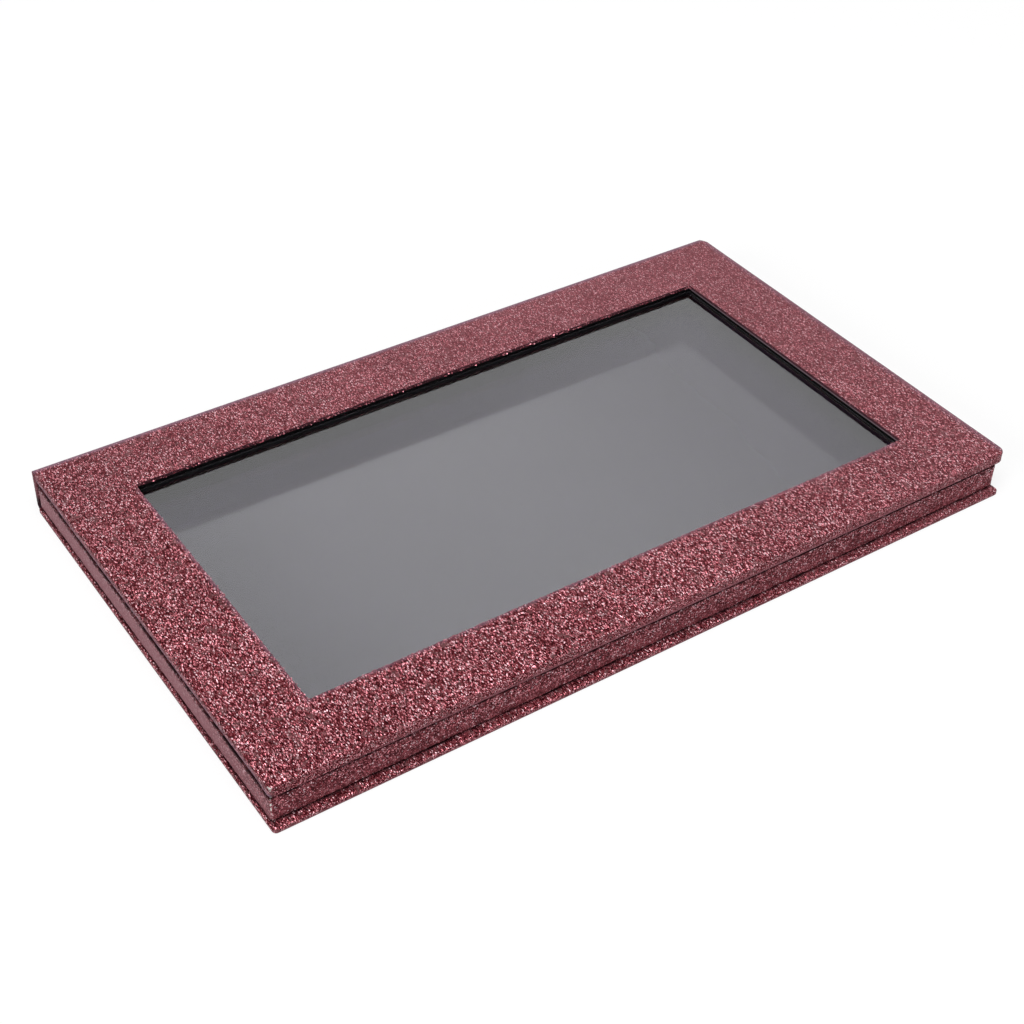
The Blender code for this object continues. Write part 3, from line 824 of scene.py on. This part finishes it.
def glitter_paper(name, cell, stretch, gain, plain, fade, mottle, dull, haze, marks):
    """Glitter paper: tilted flakes coloured by rank, dull bare patches, big bright flakes far apart
    in near-white pink as painted glints, rubbed bends whose pale mauve on the lid is partly painted
    sheen, white chips at the corners, and marked strips of painted shade and sheen.

    Fade says how the flakes give way to the plain colour: a direction, two places along it, and
    the plain share at each. Mottle is the size of soft blots, and how dark and light they are.
    """
    made, tree, where = material(name)
    fine = placed(tree, FLAKES, where, cell, stretch, 0.8, 0)
    broad = placed(tree, FLAKES, where, 2.2 * cell, 0.75 * stretch, 0.5, 0.37)
    bend, corner = attribute(tree, "bend"), attribute(tree, "corner")
    worn = placed(tree, WORN, where, bend, corner, 0.7 * MM)
    joint = between(tree, fine["Reach"], 0.50, 0.80, 0, 0.5)
    # Big bright flakes far apart, near-white pink: painted glints
    big = picked(tree, broad, (0.87, 0.90), (0.50, 0.38))
    pits = picked(tree, broad, (0.11, 0.07), (0.42, 0.28))
    bare = between(tree, noise(tree, where, 1.5 * MM, 3.0, 0.6), 0.54, 0.66, 0, dull)
    toward, *run = fade
    plain_share = between(tree, vector(tree, "DOT_PRODUCT", (where, toward), "Value"), *run)
    colour = layered(
        tree,
        colour_run(tree, fine["Rank"], [(place, srgb(*tone, gain)) for place, tone in GLITTER_RUN]),
        (joint, DEEP_MAROON), (times(tree, big, 0.95), srgb(*PAINTED_GLINT_PINK, gain)),
        (times(tree, pits, 0.7), DEEP_MAROON), (bare, DULL_OLIVE), (plain_share, plain))
    lit = spread(tree, noise(tree, where, mottle[0]), mottle[1], mottle[2])
    colour = blend_colour(tree, 1, colour, joined(tree, lit, lit, lit), "MULTIPLY")
    shares = [attribute(tree, label) for label in marks]
    colour = layered(tree, colour, (times(tree, worn["Rubbed"], 0.85), RUB_AND_SHEEN_MAUVE),
                     (worn["Chipped"], CORE_WHITE), *zip(shares, marks.values()))
    flatter = largest(tree, bare, plain_share, worn["Rubbed"], *shares, worn["Chipped"])
    shiny = times(tree, between(tree, fine["Rank"], 0.70, 0.9, 0, 0.8),
                  figure(tree, "SUBTRACT", 1, flatter))
    facing = add(tree, "NewGeometry").outputs["Normal"]
    plugs = {0: flatter, 4: fine["Normal"], 5: facing}
    normal = add(tree, "Mix", plugs, data_type="VECTOR").outputs[1]
    rough = between(tree, fine["Rank"], 0.4, 0.95, 0.62, 0.28)
    return surfaced(made, colour, rough,
                    {"Metallic": shiny, "Specular IOR Level": haze, "Normal": normal})


def paper_back():
    """The back and the cut edges of the glitter paper: dark maroon fibres, the back kept dark as
    painted shade where it shows in open crease ends.
    """
    made, tree, where = material("glitter paper back")
    fibres = noise(tree, where, 0.3 * MM, 4.0, 0.7)
    share = between(tree, fibres, 0.35, 0.65)
    colour = blend_colour(tree, share, srgb(48, 24, 32), srgb(84, 52, 61))
    return surfaced(made, colour, spread(tree, fibres, 0.75, 0.9), {"Specular IOR Level": 0.1})


def black_paper(name, specks, roughness, gain, haze, marks):
    """Black paper with a fine tooth, faint fibres and a few stray specks of glitter; strips marked
    on the piece have colours of their own, on the window's edging a painted shade and a painted
    highlight."""
    made, tree, where = material(name)
    tooth = noise(tree, where, 0.25 * MM, 3.0, 0.7)
    cloud = noise(tree, where, 9 * MM)
    stray = placed(tree, FLAKES, where, 0.33 * MM, 1, 0.6, 0.8)
    speck = picked(tree, stray, (1 - specks, 1 - 0.7 * specks), (0.32, 0.22))
    uneven = spread(tree, tooth, 0.6, 1)
    strips = [(times(tree, attribute(tree, label), uneven), shade)
              for label, shade in marks.items()]
    colour = blend_colour(tree, cloud, srgb(19, 18, 20, gain), srgb(30, 28, 31, gain))
    colour = layered(tree, colour, (speck, STRAY_PINK), *strips)
    rough = spread(tree, cloud, roughness - 0.02, roughness + 0.02)
    return surfaced(made, colour, rough, {"Specular IOR Level": haze,
                                          "Normal": bumped(tree, tooth, 0.25, 0.03 * MM)})


def grey_board():
    """Grey board: pressed fibres, a little darker in blots."""
    made, tree, where = material("grey board")
    fibres = noise(tree, where, 0.5 * MM, 5.0, 0.7)
    blots = between(tree, noise(tree, where, 6 * MM, 3.0), 0.4, 0.7, 0, 0.4)
    colour = blend_colour(tree, fibres, srgb(138, 131, 122), srgb(176, 170, 160))
    colour = blend_colour(tree, blots, colour, srgb(120, 113, 106))
    return surfaced(made, colour, spread(tree, fibres, 0.82, 0.95),
                    {"Normal": bumped(tree, fibres, 0.5, 0.05 * MM)})


def magnetic_sheet():
    """Charcoal satin magnetic sheet: a thin clear face over filled rubber with a fine tooth.

    The clear face is strongest left of the middle and wears thinner towards both ends.
    """
    made, tree, where = material("magnetic sheet")
    tooth = noise(tree, where, 0.12 * MM)
    cloud = noise(tree, where, 24 * MM, 3.0)
    colour = blend_colour(tree, cloud, srgb(37, 32, 45), srgb(44, 39, 53))
    along = add(tree, "SeparateXYZ", {"Vector": where}).outputs["X"]
    face = times(tree, between(tree, along, -95 * MM, -40 * MM, 0.55, 1),
                 between(tree, along, -15 * MM, 95 * MM, 1, 0.30))
    return surfaced(made, colour, spread(tree, cloud, 0.5, 0.6), {
        "Normal": bumped(tree, tooth, 0.01, 0.01 * MM), "Specular IOR Level": 0,
        "Coat Weight": face, "Coat Roughness": 0.13, "Coat IOR": 2.0,
    })


def clear_film():
    """Clear film: glass that lets lamps through to what it covers, with a faint slack wave."""
    made, tree, where = material("clear film")
    slack = noise(tree, where, 45 * MM, 1)
    glass = add(tree, "BsdfPrincipled", {
        "Base Color": (0.97, 0.975, 0.98, 1), "Roughness": 0.01, "IOR": 1.57,
        "Transmission Weight": 1, "Normal": bumped(tree, slack, 0.03, 0.2 * MM),
    })
    clear = add(tree, "BsdfTransparent", {"Color": (0.86, 0.87, 0.88, 1)})
    shadow = add(tree, "LightPath").outputs["Is Shadow Ray"]
    return finished(made, add(tree, "MixShader", (shadow, glass.outputs[0], clear.outputs[0])))


def tape():
    """Thin double-sided tape: pale, with faint drag lines along it."""
    made, tree, where = material("adhesive tape")
    lines = add(tree, "Mapping", {"Vector": where, "Scale": (0.05, 1, 1)})
    drag = noise(tree, lines.outputs[0], 0.8 * MM, 3.0)
    colour = blend_colour(tree, drag, srgb(186, 184, 176), srgb(206, 204, 198))
    return surfaced(made, colour, spread(tree, drag, 0.45, 0.6), {})


def nickel():
    """Bright nickel plate with a fine tumbled finish."""
    made, tree, where = material("nickel plate")
    marks = noise(tree, where, 0.3 * MM, 4.0, 0.7)
    colour = blend_colour(tree, marks, srgb(196, 192, 184), srgb(214, 210, 202))
    return surfaced(made, colour, spread(tree, marks, 0.12, 0.3), {"Metallic": 1})


def loose_flake():
    """Loose glitter flakes: pink foil, each of its own tone by where it lies."""
    made, tree, where = material("loose glitter")
    tone = noise(tree, where, 0.35 * MM, 0)
    colour = colour_run(tree, tone, [(0.3, srgb(70, 14, 22)), (0.5, srgb(150, 66, 78)),
                                     (0.7, srgb(250, 170, 182))])
    rough = between(tree, tone, 0.4, 0.6, 0.5, 0.25)
    return surfaced(made, colour, rough, {"Metallic": 0.7})


# The cover's flakes give way towards the far right, painted loss of the sparkle that the lamps
# catch less there; the tray's give way towards the wall's foot
FAR_RIGHT = (0.573, 0.819, 0)
cover_look = glitter_paper(
    "cover glitter paper", 0.14 * MM, 2.8, 1.05, PLAIN_MAUVE,
    (FAR_RIGHT, -60 * MM, 100 * MM, 0, 0.56), (19 * MM, 0.94, 1.06), 0.7, 0.03,
    {"fold": PAINTED_SHEEN_GREY, "hollow": PAINTED_SHADE_BLACK})
tray_look = glitter_paper(
    "tray glitter paper", 0.20 * MM, 1.6, 1.15, TRAY_MAUVE,
    ((0, 0, 1), tray_low + 1.0 * MM, tray_low + 5.0 * MM, 0.45, 0.12), (1.5 * MM, 0.62, 1.3),
    0.5, 0.04, {"bare": PAINTED_SHEEN_MAUVE, "hollow": PAINTED_SHADE_BLACK})
back_look = paper_back()
# The edging is the black paper darkened to 0.22 of the lining's colour: painted shade on the
# window's inner edge
edging_look = black_paper("black window edging", 0.02, 0.5, 0.22, 0.04,
                          {"paper": SHADED_PAPER_MAROON, "lip": LIP_HIGHLIGHT_GREY})


# Pieces


def side_inset(at, rect):
    """How far points lie in from the nearest of a rectangle's left, right and front sides."""
    return np.minimum.reduce([at[:, 0] - rect[0], rect[1] - at[:, 0], at[:, 1] - rect[2]])


def front_corners(rect, inset, left_level, right_level):
    """A place just inside each front corner of a rectangle, each at its own level."""
    front = rect[2] + inset
    return [(rect[0] + inset, front, left_level), (rect[1] - inset, front, right_level)]


def broken(at, seed, least=0.0):
    """A share from the least to 1 that comes and goes along the sides: random knots 0.6 mm apart,
    joined."""
    knots = np.random.default_rng(seed).uniform(0, 1, 600)
    knots = np.convolve(knots, (0.25, 0.5, 0.25), "same")
    along = np.interp(at[:, 0] + at[:, 1], np.linspace(-180 * MM, 180 * MM, 600), 2.2 * knots - 0.6)
    return least + (1 - least) * np.clip(along, 0, 1)


lid_skin = skin("lid_skin", lid_surface(), cover_look, PAPER, back_look)
at, x, y, z = places(lid_skin)
hem_low = lid_low - hang_at(x, y)
left_side = x < lid_rect[0] + SKIN_SIDE
from_corner = share_of(88 * MM - np.abs(x), 30 * MM)
# Rubbed dull strip along the lid's lower edge, its pale mauve partly painted sheen
hem = share_of(hem_low + 0.95 * MM - z, 0.4 * MM) * (side_inset(at, lid_rect) < SKIN_SIDE)
hem = hem * (0.35 + 0.65 * from_corner)
# Painted sheen on the left side below its top roll, patchy like the rubbing
left_side_sheen = 0.5 * share_of(lid_top - 0.3 * MM - z, 0.3 * MM) * left_side
# The fold mark is painted sheen: along the back and right rolls, the left side's lower edge, and
# the paper pressed down at the window's left and front cut
on_top = z > lid_top - 0.7 * MM
back_roll_sheen = 0.8 * bell(y, axis_y + 0.1 * MM, 0.7 * MM) * on_top
right_roll_sheen = 0.6 * bell(x, lid_rect[1] - 0.3 * MM, 0.7 * MM) * on_top
left_hem_sheen = bell(z, hem_low + 0.3 * MM, 0.35 * MM) * left_side * broken(at, 53, 0.6)
off_cut = np.maximum.reduce([window_rect[0] - x, window_rect[2] - y, 0 * hem])
beside = (x < window_rect[1] - 2 * MM) & (y < window_rect[3] - 2 * MM) & (off_cut < 2 * MM)
cut_edge_sheen = np.clip(1.15 - off_cut / (0.9 * MM), 0, 1) * beside * broken(at, 54, 0.5)
# Painted shade: a dark band along the top of the lid's left side
left_top_shade = bell(z, lid_top - 0.5 * MM, 0.3 * MM) * left_side * broken(at, 57, 0.3)
chips = front_corners(lid_rect, 0.3 * MM, lid_top - 0.5 * MM, lid_top - 0.7 * MM)
mark(lid_skin, bend=np.maximum(hem, left_side_sheen), corner=near(at, chips, 0.9 * MM),
     fold=np.maximum.reduce([back_roll_sheen, right_roll_sheen, left_hem_sheen, 0.6 * cut_edge_sheen]),
     hollow=0.5 * left_top_shade)
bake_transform(lid_skin)
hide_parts("lid_wrap", "lid_crease")

base_skin = skin("base_skin", base_surface(), cover_look, PAPER, back_look)
at, x, y, z = places(base_skin)
chips = front_corners(base_rect, 0.2 * MM, 0.9 * MM, 0.9 * MM)
# Painted shade: a dark broken line on the ledge at the tray wall's foot, and a dark spot at the
# lower crease's left end
off_wall = np.maximum.reduce([tray_rect[0] - x, x - tray_rect[1], tray_rect[2] - y])
wall_foot_shade = np.clip(1 - off_wall / (0.5 * MM), 0, 1) * (z > base_top - 0.35 * MM)
wall_foot_shade = wall_foot_shade * (y < base_rect[3])
crease_end_shade = 0.8 * bell(x, base_rect[0], 0.8 * MM) * (y > axis_y - 0.5 * MM)
lower = bell(z, 0.2 * MM, 0.35 * MM) * (side_inset(at, base_rect) < SKIN_SIDE)
# Painted sheen along the lower crease's roll, through the fold mark
mark(base_skin, bend=0.9 * lower, corner=0.4 * near(at, chips, 0.8 * MM),
     fold=0.8 * bell(y, axis_y + 0.1 * MM, 0.7 * MM) * (z < 0.7 * MM),
     hollow=np.maximum(wall_foot_shade * broken(at, 55, 0.4), crease_end_shade))
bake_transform(base_skin)
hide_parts("base_wrap", "base_crease")

spine_skin = skin("spine_skin", spine_surface(), cover_look, PAPER, back_look)
at, x, y, z = places(spine_skin)
end_inset = np.minimum(x - spine_rect[0], spine_rect[1] - x)
low_share = share_of(spine_low + 2.4 * MM - z, 2.0 * MM)
# Painted shade: the spine's left end darker low down, where the lower crease's end is open
mark(spine_skin, bend=0.8 * bell(end_inset, 0, 0.5 * MM), corner=0 * x, fold=0 * x,
     hollow=(x < spine_rect[0] + 0.5 * MM) * (0.4 + 0.6 * low_share))
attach(spine_skin, "spine")
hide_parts("spine_wrap")

tray_skin = skin("tray_skin", tray_surface(), tray_look, PAPER, back_look)
at, x, y, z = places(tray_skin)
rim_inset = np.minimum(side_inset(at, tray_rect), tray_rect[3] - y)
# Painted shade: near-black in the recess at the wall's foot
foot = (rim_inset > 0.05 * MM) & (z < tray_low + 0.95 * MM)
# Painted shade: a dark ragged gap under the lid's paper with a softer shade on the wall below it,
# and on the left side a darkening up to the rim
over_step = z - tray_top + step_drop(y)
near_edge = rim_inset < RIM_SIDE
darker = 0.7 + 0.3 * share_of(x + 30 * MM, 90 * MM)
patchy = np.clip(darker * (0.7 + 0.8 * broken(at, 51)), 0, 1)
strength = np.where(y < tray_rect[2] + RIM_SIDE, patchy, broken(at, 52, 0.75))
gap_shade = share_of(over_step - 0.02 * MM, 0.12 * MM) * near_edge * strength
shade = 0.3 * np.clip(1 + over_step / (1.2 * MM), 0, 1) * near_edge * strength
on_left = (x < tray_rect[0] + RIM_SIDE) & (y > tray_rect[2] + 0.3 * MM)
left_gap_shade = share_of(z - tray_top + 1.6 * MM, 0.9 * MM) * broken(at, 56, 0.65)
gap_shade = np.where(on_left, left_gap_shade * near_edge, np.maximum(gap_shade, shade))
# Painted sheen: the tray's left wall paler below its rim, more so further back
further = 0.45 + 0.45 * share_of(y - tray_rect[2], 30 * MM)
stem = [(tray_rect[0] + 0.1 * MM, tray_rect[2] + 0.1 * MM, tray_low + share * (tray_top - tray_low))
        for share in np.linspace(0.15, 0.9, 24)]
mark(tray_skin, bare=further * on_left * share_of(tray_top - 1.0 * MM - z, 1.0 * MM),
     hollow=np.maximum(foot, gap_shade), bend=0 * x, corner=near(at, stem, 0.30 * MM))
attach(tray_skin, "base")
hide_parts("tray_wrap")

edging = skin("window_edging", edge_surface(), edging_look)
at, x, y, z = places(edging)
# The paper mark is turned-in glitter paper darkened as painted shade; the lip mark is a painted
# highlight along the right side's lip
lip_level = window_low + 0.56 * (window_top - window_low)
mark(edging, paper=share_of(z - window_top + 0.80 * MM, 0.15 * MM),
     lip=bell(z, lip_level, 0.11 * MM) * (x > window_rect[1] - MM))
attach(edging, "lid")
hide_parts("window_edge_strip")

floor_sheet = skin("floor_sheet", sheet_surface(), magnetic_sheet())
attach(floor_sheet, "base")
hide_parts("magnetic_sheet")

points, faces = flakes(FLAKE_COUNT, FLAKE_SEED)
flake_mesh = bpy.data.meshes.new("loose_glitter")
flake_mesh.from_pydata(points, [], faces)
flake_mesh.materials.append(loose_flake())
loose_glitter = new_object("loose_glitter", flake_mesh)
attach(loose_glitter, "lid")

for names, look in (
    ("base_board spine_board lid_board tray_wall_front tray_wall_back tray_wall_left "
     "tray_wall_right", grey_board()),
    ("tray_lining spine_liner lid_liner",
     black_paper("black lining paper", 0.004, 0.6, 1, 0.3, {})),
    ("film_tape sheet_adhesive", tape()),
    ("tray_magnet_left tray_magnet_right lid_magnet_left lid_magnet_right", nickel()),
    ("window_film", clear_film()),
):
    for name in names.split():
        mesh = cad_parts[name].data
        mesh.materials.clear()
        mesh.materials.append(look)


# Stage, light and camera

def to_the_eye(tree):
    """1 for rays from the camera, in mirrors and through glass, 0 for the light on other pieces."""
    path = add(tree, "LightPath").outputs
    return largest(tree, *(path["Is " + kind + " Ray"]
                           for kind in ("Camera", "Glossy", "Transmission")))


def stage_floor():
    """Pale floor: a wide sheet with its far side lifted as the square of the distance past a
    line."""
    step = np.linspace(-2.5, 2.5, 61)
    x, y = np.meshgrid(step, step, indexing="ij")
    z = 0.25 * np.clip(y - 1.5, 0, None) ** 2
    made = skin("stage_floor", [(np.stack([x, y, z], -1), False)], floor_look())
    if made.data.polygons[0].normal.z < 0:
        made.data.flip_normals()


def floor_look():
    """White floor that stays white to the eye and in mirrors and keeps a soft shadow."""
    made, tree, where = material("stage floor")
    seen = to_the_eye(tree)
    tooth = noise(tree, where, 0.2)
    colour = blend_colour(tree, tooth, (0.60, 0.60, 0.60, 1), (0.64, 0.64, 0.64, 1))
    colour = blend_colour(tree, seen, colour, (0.9, 0.9, 0.9, 1))
    paint = add(tree, "BsdfDiffuse", {"Color": colour, "Roughness": 1})
    white = add(tree, "Emission", {"Color": (1, 1, 1, 1), "Strength": 1})
    shown = times(tree, seen, 0.8)
    return finished(made, add(tree, "MixShader", (shown, paint.outputs[0], white.outputs[0])))


def light_world():
    """White to the eye and in mirrors, and a lower even light on the object."""
    world = bpy.data.worlds.new("studio")
    bpy.context.scene.world = world
    world.use_nodes = True
    tree = world.node_tree
    tree.nodes.clear()
    strength = figure(tree, "ADD", times(tree, to_the_eye(tree), 1.0 - WORLD_LIGHT), WORLD_LIGHT)
    sky = add(tree, "Background", {"Color": (1, 1, 1, 1), "Strength": strength})
    add(tree, "OutputWorld", (sky.outputs[0],))


def softbox(name, heading, rise, distance, width, height, power):
    """A soft lamp looking at the case: heading is its side, turned from -Y towards -X."""
    turn, up = radians(heading), radians(rise)
    place = Vector((-sin(turn) * cos(up), -cos(turn) * cos(up), sin(up))) * distance
    lamp = bpy.data.lights.new(name, "AREA")
    lamp.shape, lamp.size, lamp.size_y, lamp.energy = "RECTANGLE", width, height, power
    made = new_object(name, lamp)
    made.location = place
    made.rotation_mode = "QUATERNION"
    made.rotation_quaternion = (-place).to_track_quat("-Z", "Y")


def photo_camera(place, heading, pitch, roll, lens, sensor):
    """The camera at the photograph's place: heading, then pitch, then roll about its own line of
    sight."""
    data = bpy.data.cameras.new("photo camera")
    data.lens, data.sensor_width = lens, sensor
    data.clip_start, data.clip_end = 0.01, 20
    made = new_object("photo camera", data)
    turn = Matrix.Identity(4)
    for degrees, axis in ((-heading, "Z"), (90 - pitch, "X"), (roll, "Z")):
        turn = turn @ Matrix.Rotation(radians(degrees), 4, axis)
    made.matrix_world = Matrix.Translation(place) @ turn
    bpy.context.scene.camera = made


stage_floor()
light_world()
# Heading and rise in degrees, distance, width and height in metres, power in watts
softbox("key softbox", 40, 74, 1.2, 0.9, 0.7, 9.0)
softbox("left fill", 80, 24, 1.3, 0.7, 0.5, 5.2)
softbox("front fill", 8, 20, 1.3, 0.9, 0.4, 1.6)
# Solved from the straight edges of the case: metres, degrees and millimetres
photo_camera((-0.19561, -0.27340, 0.27094), heading=34.97, pitch=39.29, roll=1.67, lens=62.55,
             sensor=36.0)
bpy.context.scene.view_settings.view_transform = "Standard"
